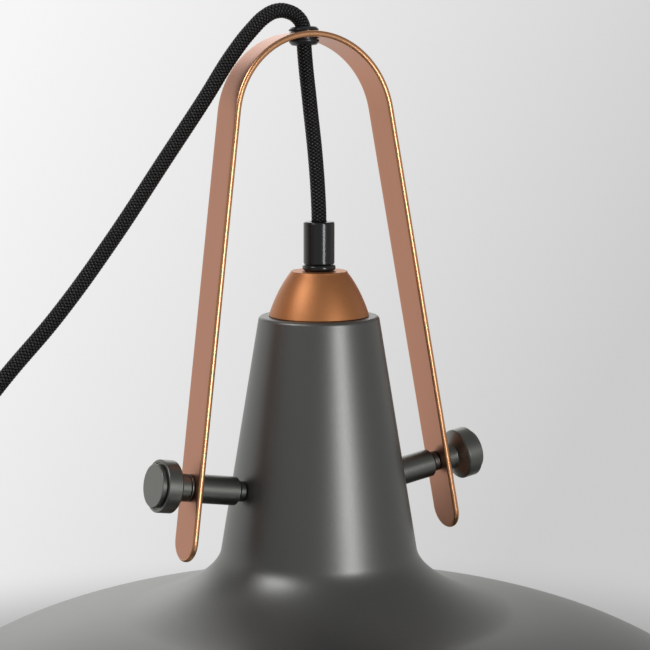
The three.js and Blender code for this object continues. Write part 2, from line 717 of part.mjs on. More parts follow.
const headLow = canopy.radius + gap;
const headHigh = headLow + canopyScrew.headHeight;
const screwProfile = [
  [0, headLow - canopyScrew.length],
  [canopyScrew.radius, headLow - canopyScrew.length],
  [canopyScrew.radius, headLow],
  [canopyScrew.headRadius, headLow],
  [canopyScrew.headRadius, headHigh - canopyScrew.headEdge],
  [canopyScrew.headRadius - canopyScrew.headEdge, headHigh],
  [0, headHigh],
];
for (const [name, side] of [["canopy_screw_left", -1], ["canopy_screw_right", 1]]) {
  const screw = turned(screwProfile, 20).rotateY((side * Math.PI) / 2).translate(0, 0, canopyScrew.z);
  add(name, screw, turnedSteel, canopyGroup);
}

const block = new THREE.BoxGeometry(terminal.width, terminal.length, terminal.height);
const blockZ = bracketHigh + gap + terminal.height / 2;
add("terminal_block", tidy(block.translate(0, 0, blockZ)), whitePlastic, canopyGroup);

export default lamp;
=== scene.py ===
import math

import bmesh
import bpy
from mathutils import Matrix, Quaternion, Vector
from mathutils.geometry import interpolate_bezier


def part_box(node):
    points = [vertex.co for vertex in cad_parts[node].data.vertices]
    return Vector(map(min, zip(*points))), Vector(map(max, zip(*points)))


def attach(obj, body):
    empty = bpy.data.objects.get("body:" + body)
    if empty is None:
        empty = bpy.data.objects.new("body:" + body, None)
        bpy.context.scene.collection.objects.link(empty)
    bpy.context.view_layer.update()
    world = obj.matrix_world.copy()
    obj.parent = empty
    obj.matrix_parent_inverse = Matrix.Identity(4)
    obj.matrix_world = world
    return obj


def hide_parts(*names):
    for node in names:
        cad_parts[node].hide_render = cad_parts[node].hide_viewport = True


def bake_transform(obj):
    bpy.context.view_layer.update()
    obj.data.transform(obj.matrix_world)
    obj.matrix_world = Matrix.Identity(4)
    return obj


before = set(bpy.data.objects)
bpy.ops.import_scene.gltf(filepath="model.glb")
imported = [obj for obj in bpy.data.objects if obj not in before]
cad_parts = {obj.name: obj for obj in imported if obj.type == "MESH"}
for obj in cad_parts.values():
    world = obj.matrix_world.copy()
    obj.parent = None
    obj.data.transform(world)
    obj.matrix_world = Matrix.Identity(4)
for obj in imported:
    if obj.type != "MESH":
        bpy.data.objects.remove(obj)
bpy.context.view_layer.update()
mm = 0.001
full_turn = 2 * math.pi

# ------------------------------------------------------------------ camera
# A long lens, low in front of the left knob, looking a little down on the
# neck. It is turned by a hair, as a hand-held camera is.

eye = Vector((-0.5108, -0.8740, 0.3374))
aim = Vector((0.0023, -0.0014, 0.2018))
camera_roll = math.radians(0.02)

camera = bpy.data.objects.new("camera", bpy.data.cameras.new("camera"))
bpy.context.scene.collection.objects.link(camera)
camera.data.lens = 125.5
camera.data.sensor_width = 36
camera.data.clip_end = 50
camera.location = eye
camera.rotation_mode = "QUATERNION"
level = (aim - eye).to_track_quat("-Z", "Y")
camera.rotation_quaternion = level @ Quaternion((0, 0, 1), camera_roll)
bpy.context.scene.camera = camera

# --------------------------------------------------------------- the cord
# Textile-braided mains cord, 6.9 mm across and about 1.55 m long. It rises
# from the cord grip, passes the grommet in the bail, loops over and runs
# down to a neat coil, and its end goes into the ceiling canopy's grip.

cord_diameter = 6.9 * mm
head_run = [
    (0, 0, 0.2487), (0, 0.0004, 0.256), (0, 0.003, 0.276), (0, 0.008, 0.3), (0, 0.0124, 0.321),
    (0, 0.0136, 0.3296), (-0.0002, 0.0138, 0.335), (-0.003, 0.0138, 0.3392), (-0.0082, 0.0138, 0.3418),
    (-0.0139, 0.0138, 0.342), (-0.0196, 0.0138, 0.3396), (-0.0258, 0.0138, 0.3344),
    (-0.036, 0.0137, 0.3232), (-0.0504, 0.0136, 0.3034), (-0.07, 0.0135, 0.2776),
    (-0.096, 0.0134, 0.2434), (-0.122, 0.0132, 0.2126), (-0.148, 0.013, 0.1862),
    (-0.168, 0.0126, 0.1634), (-0.186, 0.012, 0.1386), (-0.201, 0.0114, 0.11), (-0.212, 0.0109, 0.08),
    (-0.219, 0.0105, 0.052), (-0.227, 0.0102, 0.0275), (-0.24, 0.01, 0.0108), (-0.257, 0.01, 0.005),
    (-0.2754, 0.01, 0.005),
]
tail_run = [
    (-0.2754, -0.0648, 0.0079), (-0.262, -0.0652, 0.0046), (-0.246, -0.069, 0.0044),
    (-0.232, -0.079, 0.0068), (-0.225, -0.094, 0.017), (-0.227, -0.109, 0.035),
    (-0.236, -0.12, 0.054), (-0.251, -0.1264, 0.0686), (-0.268, -0.128, 0.0744),
    (-0.282, -0.128, 0.0702), (-0.289, -0.128, 0.0596), (-0.29, -0.128, 0.0448),
]

coil_low, coil_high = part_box("cord_coil")
coil_centre = (coil_low + coil_high) / 2
outer_turn = (coil_high.x - coil_low.x - cord_diameter) / 2
lower_layer = coil_low.z + cord_diameter / 2
layer_rise = 7 * mm


def ease(value, start, end):
    """0 before start and 1 after end, with a smooth step between."""
    share = min(max((value - start) / (end - start), 0), 1)
    return share * share * (3 - 2 * share)


def coil_point(degrees):
    """A point of the coil: one outer turn, one inner turn, then back out on top of them."""
    inwards = ease(degrees, 395, 450) - ease(degrees, 1075, 1125)
    radius = outer_turn - cord_diameter * inwards
    height = lower_layer + layer_rise * ease(degrees, 735, 795)
    angle = math.radians(degrees)
    return (
        coil_centre.x + radius * math.cos(angle),
        coil_centre.y + radius * math.sin(angle),
        height,
    )


coil_steps = range(90, 1351, 15)
coil_end = coil_point(1350)
over_the_coil = [(coil_end[0] + 12 * mm, coil_end[1], coil_end[2] - 0.6 * mm)]
cord_points = head_run + [coil_point(a) for a in coil_steps] + over_the_coil + tail_run


def smooth_line(points, spacing):
    """Even points along one smooth curve through the given points."""
    data = bpy.data.curves.new("route", "CURVE")
    data.dimensions = "3D"
    data.resolution_u = 24
    spline = data.splines.new("BEZIER")
    spline.bezier_points.add(len(points) - 1)
    for knot, point in zip(spline.bezier_points, points):
        knot.co = point
        knot.handle_left_type = knot.handle_right_type = "AUTO"
    route = bpy.data.objects.new("route", data)
    fine = [v.co.copy() for v in route.to_mesh().vertices]
    bpy.data.objects.remove(route)
    walked = [0.0]
    for a, b in zip(fine, fine[1:]):
        walked.append(walked[-1] + (b - a).length)
    count = round(walked[-1] / spacing)
    line, at = [], 0
    for i in range(count + 1):
        wanted = walked[-1] * i / count
        while at < len(fine) - 2 and walked[at + 1] < wanted:
            at += 1
        share = (wanted - walked[at]) / max(walked[at + 1] - walked[at], 1e-9)
        line.append(fine[at].lerp(fine[at + 1], min(share, 1)))
    return line, walked[-1]


def add_node(tree, kind, inputs=(), **settings):
    """Adds a shader node, with its inputs set to values or linked to sockets."""
    node = tree.nodes.new(kind)
    for name, value in settings.items():
        setattr(node, name, value)
    for name, value in dict(inputs).items():
        if isinstance(value, bpy.types.NodeSocket):
            tree.links.new(value, node.inputs[name])
        else:
            node.inputs[name].default_value = value
    return node


def calculate(tree, operation, *values):
    """A Math node's result."""
    return add_node(tree, "ShaderNodeMath", dict(enumerate(values)), operation=operation).outputs[0]


def mix_colours(tree, share, first, second):
    """A colour between two, by a share from 0 to 1."""
    inputs = {"Factor": share, "A": first, "B": second}
    node = add_node(tree, "ShaderNodeMix", data_type="RGBA")
    for socket in node.inputs:
        if socket.enabled and socket.name in inputs:
            value = inputs[socket.name]
            if isinstance(value, bpy.types.NodeSocket):
                tree.links.new(value, socket)
            else:
                socket.default_value = value
    return next(o for o in node.outputs if o.enabled)


def new_group(name, inputs, outputs):
    """An empty shader node group with named number inputs (or a vector) and number outputs."""
    tree = bpy.data.node_groups.new(name, "ShaderNodeTree")
    for label, kind, default in inputs:
        socket = tree.interface.new_socket(label, in_out="INPUT", socket_type=kind)
        if default is not None:
            socket.default_value = default
    for label in outputs:
        tree.interface.new_socket(label, in_out="OUTPUT", socket_type="NodeSocketFloat")
    return tree, tree.nodes.new("NodeGroupInput").outputs, tree.nodes.new("NodeGroupOutput").inputs


def new_material(name, **surface):
    """A material with one Principled shader, its plain values set."""
    material = bpy.data.materials.new(name)
    material.use_nodes = True
    shader = material.node_tree.nodes["Principled BSDF"]
    for label, value in surface.items():
        shader.inputs[label.replace("_", " ")].default_value = value
    return material, material.node_tree, shader


def braid_pattern():
    """Strands that cross over and under each other on the diagonal, as heights from 0 to 1."""
    tree, given, result = new_group(
        "diagonal braid",
        [("Along", "NodeSocketFloat", 0), ("Side", "NodeSocketVector", None),
         ("Pitch", "NodeSocketFloat", 0.0016), ("Strands", "NodeSocketFloat", 8)],
        ["Height", "Fibre"],
    )
    side = add_node(tree, "ShaderNodeSeparateXYZ", {0: given["Side"]}).outputs
    turned = calculate(tree, "DIVIDE", calculate(tree, "ARCTAN2", side[1], side[0]), full_turn)
    across = calculate(tree, "MULTIPLY", turned, given["Strands"])
    along = calculate(tree, "DIVIDE", given["Along"], given["Pitch"])
    one = calculate(tree, "ADD", across, along)
    other = calculate(tree, "SUBTRACT", across, along)
    humps = [calculate(tree, "SINE", calculate(tree, "MULTIPLY", calculate(tree, "FRACT", x), math.pi))
             for x in (one, other)]
    cells = calculate(tree, "ADD", calculate(tree, "FLOOR", one), calculate(tree, "FLOOR", other))
    parity = calculate(tree, "FLOORED_MODULO", cells, 2)

    def strand(over, under, running):
        rounded = calculate(tree, "POWER", over, 0.7)
        swell = calculate(tree, "MULTIPLY_ADD", under, 0.5, 0.5)
        height = calculate(tree, "MULTIPLY", rounded, swell)
        fibre = calculate(tree, "SINE", calculate(tree, "MULTIPLY", running, full_turn * 5))
        return height, fibre

    first = strand(humps[0], humps[1], one)
    second = strand(humps[1], humps[0], other)
    for label, a, b in zip(("Height", "Fibre"), first, second):
        gap = calculate(tree, "SUBTRACT", b, a)
        value = calculate(tree, "MULTIPLY_ADD", gap, parity, a)
        tree.links.new(value, result[label])
    return tree


def braid_finish():
    """Black polyester yarn, a little shiny on top of each strand, its colour painted dark between the strands
    and lighter on their tops.
    """
    material, tree, shader = new_material(
        "cord braid", Roughness=0.5, Sheen_Weight=0.02, Sheen_Roughness=0.4
    )
    along = add_node(tree, "ShaderNodeAttribute", attribute_name="along").outputs["Fac"]
    side = add_node(tree, "ShaderNodeAttribute", attribute_name="side").outputs["Vector"]
    braid = add_node(tree, "ShaderNodeGroup", node_tree=braid_pattern())
    tree.links.new(along, braid.inputs["Along"])
    tree.links.new(side, braid.inputs["Side"])
    top = calculate(tree, "POWER", braid.outputs["Height"], 2)
    # Painted shade and highlight: the gaps between strands are painted near black and the strand tops
    # lighter; the fine fibre lines are the yarn's own.
    painted_shade_and_fibre = calculate(tree, "MULTIPLY_ADD", braid.outputs["Fibre"], 0.12, top)
    colour = mix_colours(tree, painted_shade_and_fibre, (0.0015, 0.0015, 0.0016, 1), (0.026, 0.026, 0.027, 1))
    tree.links.new(colour, shader.inputs["Base Color"])
    tree.links.new(calculate(tree, "MULTIPLY", top, 0.9), shader.inputs["Specular IOR Level"])
    rough = calculate(tree, "MULTIPLY_ADD", top, -0.3, 0.6)
    tree.links.new(rough, shader.inputs["Roughness"])
    height = calculate(tree, "MULTIPLY_ADD", braid.outputs["Fibre"], 0.06, braid.outputs["Height"])
    bump = add_node(tree, "ShaderNodeBump", {"Height": height, "Strength": 1.0, "Distance": 0.5 * mm})
    tree.links.new(bump.outputs[0], shader.inputs["Normal"])
    return material


def braided_tube(line, radius, strands, pitch, relief):
    """A round tube along a line, with every other crossing of its braid raised."""
    sides = 4 * strands
    shape = bmesh.new()
    along = shape.verts.layers.float.new("along")
    side = shape.verts.layers.float_vector.new("side")
    tangents = [(b - a).normalized() for a, b in zip(line, line[1:])]
    tangents.append(tangents[-1])
    across = Vector((0, 1, 0)).cross(tangents[0]).normalized()
    walked, before = 0.0, None
    for i, (point, tangent) in enumerate(zip(line, tangents)):
        across = (across - tangent * across.dot(tangent)).normalized()
        up = tangent.cross(across)
        walked += (point - line[i - 1]).length if i else 0
        ring = []
        for k in range(sides):
            angle = full_turn * k / sides
            out = math.cos(angle) * across + math.sin(angle) * up
            wave = math.cos(full_turn * strands * k / sides) * math.cos(full_turn * walked / pitch)
            corner = shape.verts.new(point + out * (radius + relief * (wave - 1)))
            corner[along] = walked
            corner[side] = (math.cos(angle), math.sin(angle), 0)
            ring.append(corner)
        if before:
            for k in range(sides):
                shape.faces.new((before[k - 1], before[k], ring[k], ring[k - 1]))
        else:
            shape.faces.new(ring)
        before = ring
    shape.faces.new(reversed(before))
    return shape


def finish_piece(shape, name, material, body, nodes, place=Matrix.Identity(4), sharp=35):
    """Makes a piece of a shape drawn in its own frame, placed and finished, in place of its CAD nodes."""
    local = shape.verts.layers.float_vector.new("local")
    for v in shape.verts:
        v[local] = v.co
    shape.transform(place)
    bmesh.ops.recalc_face_normals(shape, faces=shape.faces)
    mesh = bpy.data.meshes.new(name)
    shape.to_mesh(mesh)
    shape.free()
    mesh.materials.append(material)
    mesh.shade_smooth()
    mesh.set_sharp_from_angle(angle=math.radians(sharp))
    piece = bpy.data.objects.new(name, mesh)
    bpy.context.scene.collection.objects.link(piece)
    if body:
        piece.modifiers.new("weighted normals", "WEIGHTED_NORMAL").keep_sharp = True
        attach(piece, body)
    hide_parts(*nodes)
    return piece


braid_pitch = 1.6 * mm
cord_line, cord_length = smooth_line(cord_points, braid_pitch / 2)
cord_shape = braided_tube(cord_line, cord_diameter / 2, 8, braid_pitch, 0.1 * mm)
cord = finish_piece(
    cord_shape, "braided_cord", braid_finish(), None,
    ["cord", "cord_tail", "cord_coil"], sharp=180,
)
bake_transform(cord)

# --------------------------------------------------------------- the shade
# One spun steel piece: a narrow cone of a neck, closed on top by a flat
# plate, that flares into a wide shallow dome with a hemmed rim. It is
# lacquered a warm metallic grey and drilled on both sides for the studs.

neck_top, neck_radius, neck_slope = 206.1, 27.07, math.radians(9.3)
rim_radius, dome_rise, rim_band, hem = 200, 73.5, 4.5, 4
flare_top, flare_foot, top_pull, foot_pull = 99, 89.6, 0.62, 0.36
shade_wall = 1.5
nipple_hole = 5.3


def rounded(corners, segments=4):
    """An outline's points, with every corner that has a third value rounded to that radius."""
    points = []
    for i, (x, y, *radius) in enumerate(corners):
        here = Vector((x, y))
        if not radius:
            points.append(here)
            continue
        before = Vector(corners[i - 1][:2]) - here
        after = Vector(corners[(i + 1) % len(corners)][:2]) - here
        half = before.angle(after) / 2
        reach = min(radius[0] / math.tan(half), 0.49 * before.length, 0.49 * after.length)
        start, end = here + before.normalized() * reach, here + after.normalized() * reach
        middle = here + (before.normalized() + after.normalized()).normalized() * reach / math.cos(half)
        arm = (start - middle).length
        for k in range(segments + 1):
            points.append(middle + (start - middle).lerp(end - middle, k / segments).normalized() * arm)
    return points


def bow(start, leaving, arriving, end, steps=12):
    """Points along a curve that leaves start towards one handle and reaches end from the other."""
    points = interpolate_bezier(*(Vector((x, y, 0)) for x, y in (start, leaving, arriving, end)), steps + 1)
    return [tuple(p.xy) for p in points]


def turn(corners, steps=96, segments=4):
    """Turns an outline of (radius, height) corners, in millimetres, round the Z axis."""
    shape = bmesh.new()
    outline = [shape.verts.new((p.x * mm, 0, p.y * mm)) for p in rounded(corners, segments)]
    lines = [shape.edges.new(pair) for pair in zip(outline, outline[1:])]
    if corners[0][0] or corners[-1][0]:
        lines.append(shape.edges.new((outline[-1], outline[0])))
    bmesh.ops.spin(
        shape, geom=outline + lines, cent=(0, 0, 0), axis=(0, 0, 1), angle=full_turn, steps=steps,
        use_merge=True,
    )
    bmesh.ops.remove_doubles(shape, verts=shape.verts, dist=1e-6)
    return shape


def drill(piece, cutters):
    """Cuts other shapes out of a finished piece."""
    for cutter in cutters:
        mesh = bpy.data.meshes.new("drill")
        bmesh.ops.recalc_face_normals(cutter, faces=cutter.faces)
        cutter.to_mesh(mesh)
        cutter.free()
        tool = bpy.data.objects.new("drill", mesh)
        bpy.context.scene.collection.objects.link(tool)
        step = piece.modifiers.new("hole", "BOOLEAN")
        step.object = tool
        with bpy.context.temp_override(object=piece):
            bpy.ops.object.modifier_move_to_index(modifier=step.name, index=0)
            bpy.ops.object.modifier_apply(modifier=step.name)
        bpy.data.objects.remove(tool)


def side_frame(side):
    """A stud's own frame on the left (-1) or right (+1): Z runs out from the neck's wall."""
    tilt = Matrix.Rotation(side * (math.pi / 2 - neck_slope), 4, "Y")
    return Matrix.Translation((side * 39.607 * mm, 0, 129.545 * mm)) @ tilt


def neck_radius_at(height):
    return neck_radius + math.tan(neck_slope) * (neck_top - height)


def shade_line(inset):
    """The neck, the flare and the dome, from the top down, moved inwards by an inset."""
    cone_inset = inset / math.cos(neck_slope)
    across, rise = rim_radius - inset, dome_rise - inset
    foot_angle = math.asin(flare_foot / across)
    foot_height = rim_band + rise * math.cos(foot_angle)
    foot_slope = -rise / across * math.tan(foot_angle)
    steep = math.tan(neck_slope)
    reach = neck_radius_at(0) - cone_inset
    corner = (reach - steep * (foot_height - foot_slope * flare_foot)) / (1 + steep * foot_slope)
    corner_height = foot_height + foot_slope * (corner - flare_foot)
    line = [(neck_radius_at(z) - cone_inset, z) for z in range(201, flare_top, -2)]
    top, foot = Vector((neck_radius_at(flare_top) - cone_inset, flare_top)), Vector((flare_foot, foot_height))
    middle = Vector((corner, corner_height))
    line += bow(top, top.lerp(middle, top_pull), foot.lerp(middle, foot_pull), foot, 30)
    for i in range(1, 41):
        angle = foot_angle + (math.pi / 2 - foot_angle) * i / 40
        line.append((across * math.sin(angle), rim_band + rise * math.cos(angle)))
    return line


def grain_pattern():
    """A fine even grain, as sprayed lacquer and tumbled plating have."""
    tree, given, result = new_group(
        "fine grain", [("Place", "NodeSocketVector", None), ("Size", "NodeSocketFloat", 0.4 * mm)], ["Height"]
    )
    scale = calculate(tree, "DIVIDE", 1, given["Size"])
    noise = add_node(tree, "ShaderNodeTexNoise", {"Vector": given["Place"], "Detail": 3.0, "Roughness": 0.6})
    tree.links.new(scale, noise.inputs["Scale"])
    tree.links.new(noise.outputs["Fac"], result["Height"])
    return tree


fine_grain = grain_pattern()


def add_grain(tree, size, strength, depth):
    """The grain's height on the object's own coordinates, and a bump made from it."""
    place = add_node(tree, "ShaderNodeTexCoord").outputs["Object"]
    grain = add_node(tree, "ShaderNodeGroup", node_tree=fine_grain)
    tree.links.new(place, grain.inputs["Place"])
    grain.inputs["Size"].default_value = size
    height = grain.outputs["Height"]
    bump = add_node(tree, "ShaderNodeBump", {"Height": height, "Strength": strength, "Distance": depth})
    return height, bump.outputs[0]


def grained_finish(name, dark, light, grain, **surface):
    """A material with a grain (its size, strength and depth) that runs from a dark to a light colour."""
    material, tree, shader = new_material(name, **surface)
    height, bump = add_grain(tree, *grain)
    tree.links.new(mix_colours(tree, height, dark, light), shader.inputs["Base Color"])
    tree.links.new(bump, shader.inputs["Normal"])
    return material


# The lacquer has a soft sheen, and a grain too fine to see from afar.
lacquer = grained_finish(
    "shade lacquer", (0.125, 0.127, 0.123, 1), (0.205, 0.207, 0.202, 1), (0.3 * mm, 0.3, 0.05 * mm),
    Metallic=0.93, Roughness=0.42,
)
plate_low = neck_top - shade_wall
inner_neck = neck_radius_at(plate_low) - shade_wall / math.cos(neck_slope)
shade_outline = [(nipple_hole, neck_top), (neck_radius, neck_top, 1.7)]
shade_outline += shade_line(0)
shade_outline += [(rim_radius, 0, 0.7), (rim_radius - hem, 0, 0.7), (rim_radius - hem, rim_band - shade_wall)]
shade_outline += reversed(shade_line(shade_wall))
shade_outline += [(inner_neck, plate_low, 1), (nipple_hole, plate_low)]
shade = finish_piece(
    turn(shade_outline, 192, 6), "spun_shade", lacquer, "head", ["shade_shell"]
)
stud_drills = []
for side in (-1, 1):
    stud_drills.append(turn([(0, -8), (3.3, -8), (3.3, 8), (0, 8)], 32))
    stud_drills[-1].transform(side_frame(side))
drill(shade, stud_drills)

# -------------------------------------------------------------- copper cap
# A drawn copper-plated cup, slightly bowed, that covers the middle of the
# neck's top plate. The threaded nipple passes it and clamps it down.

cap_low, cap_high, cap_base, cap_top, cap_wall = 206.4, 226.4, 22.6, 12.9, 1.2


def cap_line(inset):
    """The cap's bowed side, from the foot up."""
    foot, top = Vector((cap_base - inset, cap_low)), Vector((cap_top - inset, cap_high - 0.7))
    middle = Vector(((cap_base + cap_top) / 2 + 1.3 - inset, (cap_low + cap_high) / 2 + 1.3))
    return bow(foot, foot.lerp(middle, 2 / 3), top.lerp(middle, 2 / 3), top)


def cap_copper_finish():
    """Orange copper plate with a speckled, slightly clouded grain."""
    material, tree, shader = new_material("cap copper", Metallic=1.0, Coat_Weight=0.25, Coat_Roughness=0.4)
    height, bump = add_grain(tree, 0.3 * mm, 0.4, 0.06 * mm)
    colour = mix_colours(tree, height, (0.42, 0.15, 0.05, 1), (0.72, 0.33, 0.14, 1))
    tree.links.new(colour, shader.inputs["Base Color"])
    rough = calculate(tree, "MULTIPLY_ADD", height, 0.2, 0.42)
    tree.links.new(rough, shader.inputs["Roughness"])
    tree.links.new(bump, shader.inputs["Normal"])
    return material


cap_outline = cap_line(0) + [(cap_top - 0.2, cap_high, 0.5), (nipple_hole, cap_high)]
cap_outline += [(nipple_hole, cap_high - cap_wall), (cap_top - 2 * cap_wall, cap_high - cap_wall, 0.5)]
cap_outline += reversed(cap_line(cap_wall)[:-1])
finish_piece(turn(cap_outline, 128), "copper_cap", cap_copper_finish(), "head", ["top_cap"])

# --------------------------------------------------- cord grip and its collar
# Moulded black plastic, glossy. The collar is a plain rounded ring on the
# cap; the grip is screwed over the nipple's end and holds the cord.

collar_low, collar_high, collar_radius = 226.7, 229.3, 7.5
grip_low, grip_length, grip_radius, cord_bore = 229.6, 19, 7, 3.8


def moulded_finish(name, colour, grain, **surface):
    """One plain colour, with a faint mould texture of that size, strength and depth."""
    material, tree, shader = new_material(name, Base_Color=colour, **surface)
    tree.links.new(add_grain(tree, *grain)[1], shader.inputs["Normal"])
    return material


black_plastic = moulded_finish(
    "black plastic", (0.012, 0.013, 0.014, 1), (1.2 * mm, 0.06, 0.03 * mm),
    Roughness=0.22, Specular_IOR_Level=0.55,
)
collar_outline = [
    (nipple_hole, collar_low), (collar_radius, collar_low, 1.1),
    (collar_radius, collar_high, 1.1), (nipple_hole, collar_high),
]
finish_piece(
    turn(collar_outline, segments=6), "grip_foot_ring", black_plastic, "head",
    ["grip_collar"],
)


def grip_outline(low):
    """The grip's wall: a wide thread bore below, the cord's bore above."""
    high = low + grip_length
    return [
        (nipple_hole, low, 0.2), (grip_radius, low, 0.5), (grip_radius, high, 0.9), (cord_bore, high, 0.4),
        (cord_bore, low + 8.4), (nipple_hole, low + 7.4),
    ]


finish_piece(
    turn(grip_outline(grip_low), segments=6), "head_cord_grip", black_plastic, "head",
    ["cord_grip"],
)

# ------------------------------------------ nipple, lock washer and its nut
# Zinc-plated steel. An M10 x 1 tube with a thread along its length joins the
# lampholder, the neck's top plate, the cap and the grip.


def thread_phase(point, pitch):
    """How many turns of a right-hand thread lie below a point."""
    return point.z / (pitch * mm) - math.atan2(point.y, point.x) / full_turn


def cut_thread(shape, radius, pitch, depth):
    """Cuts a thread, as a wave of that pitch and depth, into the vertices at a radius."""
    for v in shape.verts:
        out = math.hypot(v.co.x, v.co.y)
        if abs(out - radius * mm) > 0.02 * mm:
            continue
        phase = thread_phase(v.co, pitch)
        wave = abs(2 * (phase - math.floor(phase)) - 1)
        v.co.xy *= 1 - depth * wave * mm / out


def straight(radius, low, high, spacing):
    """A straight wall of even rows, for a thread."""
    count = round(abs(high - low) / spacing)
    return [(radius, low + (high - low) * i / count) for i in range(count + 1)]


zinc = grained_finish(
    "zinc plate", (0.42, 0.43, 0.44, 1), (0.62, 0.63, 0.63, 1), (1.5 * mm, 0.1, 0.03 * mm),
    Metallic=1.0, Roughness=0.36,
)


def threaded_tube(low, high):
    shape = turn([(3.6, low), *straight(5, low, high, 0.17), (3.6, high)], 48)
    cut_thread(shape, 5, 1, 0.55)
    return shape


finish_piece(
    threaded_tube(190.1, 236.7), "m10_nipple", zinc, "head", ["threaded_nipple"], sharp=70
)


def circle(radius, x=0, y=0, count=48):
    return [
        (x + radius * math.cos(full_turn * i / count), y + radius * math.sin(full_turn * i / count))
        for i in range(count)
    ]


def cut_sheet(outlines, low, high, edge, segments=3):
    """A sheet from low to high, cut to its outlines (the first outside, the rest holes), with round edges."""
    turns = [math.pi / 2 * i / segments for i in range(segments + 1)]
    steps = [(edge * (1 - math.sin(a)), edge * (1 - math.cos(a))) for a in turns]
    section = [(inset, low + rise) for inset, rise in steps]
    section += [(inset, high - rise) for inset, rise in reversed(steps)]
    shape = bmesh.new()
    borders = ([], [])
    for number, outline in enumerate(outlines):
        points = [Vector(point) for point in outline]
        count = len(points)
        area = sum(points[i - 1].cross(points[i]) for i in range(count))
        side = math.copysign(1 if number == 0 else -1, area)
        inward = []
        for i in range(count):
            before = (points[i] - points[i - 1]).normalized()
            after = (points[(i + 1) % count] - points[i]).normalized()
            across = Vector((-before.y - after.y, before.x + after.x)) * side
            inward.append(across / (1 + before.dot(after)))
        rings = []
        for inset, z in section:
            spots = [point + across * inset for point, across in zip(points, inward)]
            rings.append([shape.verts.new((spot.x * mm, spot.y * mm, z * mm)) for spot in spots])
        for lower, upper in zip(rings, rings[1:]):
            for i in range(count):
                shape.faces.new((lower[i - 1], lower[i], upper[i], upper[i - 1]))
        for border, ring in zip(borders, (rings[0], rings[-1])):
            border += [shape.edges.get((ring[i - 1], ring[i])) for i in range(count)]
    for border in borders:
        bmesh.ops.triangle_fill(shape, use_beauty=True, edges=border)
    bmesh.ops.recalc_face_normals(shape, faces=shape.faces)
    return shape


def nut(across_flats, bore, low, high):
    """A hexagon nut round the Z axis."""
    return cut_sheet([circle(across_flats / math.sqrt(3), count=6), circle(bore)], low, high, 0.4)


teeth = circle(8.5, count=20)
for i in range(1, 20, 2):
    teeth[i] = (teeth[i][0] * 0.86, teeth[i][1] * 0.86)
finish_piece(
    cut_sheet([teeth, circle(nipple_hole)], 203.3, 204.3, 0.15),
    "toothed_lock_washer", zinc, "head", ["nipple_lock_washer"],
)
finish_piece(
    nut(14, nipple_hole, 198.5, 203), "m10_nut", zinc, "head", ["nipple_nut"]
)

# ------------------------------------------------------------- lampholder
# A black bakelite E27 lampholder in two parts, a shouldered cap and a body,
# screwed onto the nipple inside the neck. A brass screw shell and a centre
# contact are fixed in the body.


bakelite = grained_finish(
    "bakelite", (0.012, 0.01, 0.009, 1), (0.028, 0.022, 0.018, 1), (2.5 * mm, 0.08, 0.05 * mm),
    Roughness=0.3, Specular_IOR_Level=0.5,
)
brass = grained_finish(
    "brass", (0.6, 0.42, 0.16, 1), (0.76, 0.56, 0.26, 1), (1.2 * mm, 0.1, 0.03 * mm),
    Metallic=1.0, Roughness=0.3,
)
holder_cap = [
    (nipple_hole, 198.2, 0.3), (11, 198.2, 2), (20, 188.2, 3), (20, 173.2, 0.5), (17.8, 173.2, 0.5),
    (17.8, 185.2, 2), (10, 196, 1), (nipple_hole, 196),
]
finish_piece(turn(holder_cap), "holder_cap", bakelite, "head", ["lampholder_cap"])
holder_body = [
    (2, 172.9, 0.3), (20, 172.9, 0.5), (20, 140.9, 2), (14.6, 140.9, 0.8), (14.6, 169.9), (2, 169.9),
]
finish_piece(turn(holder_body), "holder_body", bakelite, "head", ["lampholder_body"])

thread_pitch = 3.629
screw_shell = turn([*straight(13.5, 146.1, 169.6, 0.4), *straight(14.3, 169.6, 146.1, 0.4)], 72)
for v in screw_shell.verts:
    out = math.hypot(v.co.x, v.co.y)
    if out < 13.9 * mm:
        rolled = 0.12 * (1 + math.cos(full_turn * thread_phase(v.co, thread_pitch)))
        v.co.xy *= 1 + rolled * mm / out
finish_piece(
    screw_shell, "holder_screw_shell", brass, "head", ["lampholder_screw_shell"], sharp=60
)
finish_piece(
    turn([(0, 168.1), (3.2, 168.1, 0.3), (4, 168.8, 0.4), (4, 169.6), (0, 169.6)], 48),
    "holder_centre_contact", brass, "head", ["lampholder_contact"],
)

# ------------------------------------------------------------------- bulb
# A 60 mm opal globe lamp with an E27 screw cap. The cap's rolled thread
# screws into the holder's shell, and its brass foot meets the contact.

bulb_foot_outline = [(0, 165.1), (7.6, 165.1), (4.6, 167, 0.4), (3.8, 167.8, 0.5), (0, 167.8)]
finish_piece(
    turn(bulb_foot_outline, 64), "bulb_foot_contact", brass, "bulb_foot", ["bulb_contact"]
)
bulb_cap_outline = [
    (0, 164), (12, 164, 0.5), (12, 142.3), (12.8, 142.3), *straight(13.1, 142.7, 163.3, 0.35),
    (12.2, 164.8, 0.5), (0, 164.8),
]
bulb_cap = turn(bulb_cap_outline, 72)
for v in bulb_cap.verts:
    out = math.hypot(v.co.x, v.co.y)
    if out > 13.05 * mm and v.co.z > 146.1 * mm:
        rolled = 0.4 * (1 - math.cos(full_turn * thread_phase(v.co, thread_pitch)))
        v.co.xy *= 1 - rolled * mm / out
finish_piece(bulb_cap, "bulb_screw_cap", zinc, "bulb", ["bulb_cap"], sharp=60)


def opal_finish():
    """White opal glass, glossy outside, that lets a little light through."""
    material, tree, shader = new_material(
        "opal glass", Roughness=0.12, Subsurface_Weight=0.4, Subsurface_Scale=0.004
    )
    height = add_grain(tree, 20 * mm, 0.02, 0.02 * mm)[0]
    colour = mix_colours(tree, height, (0.86, 0.84, 0.8, 1), (0.93, 0.91, 0.87, 1))
    tree.links.new(colour, shader.inputs["Base Color"])
    return material


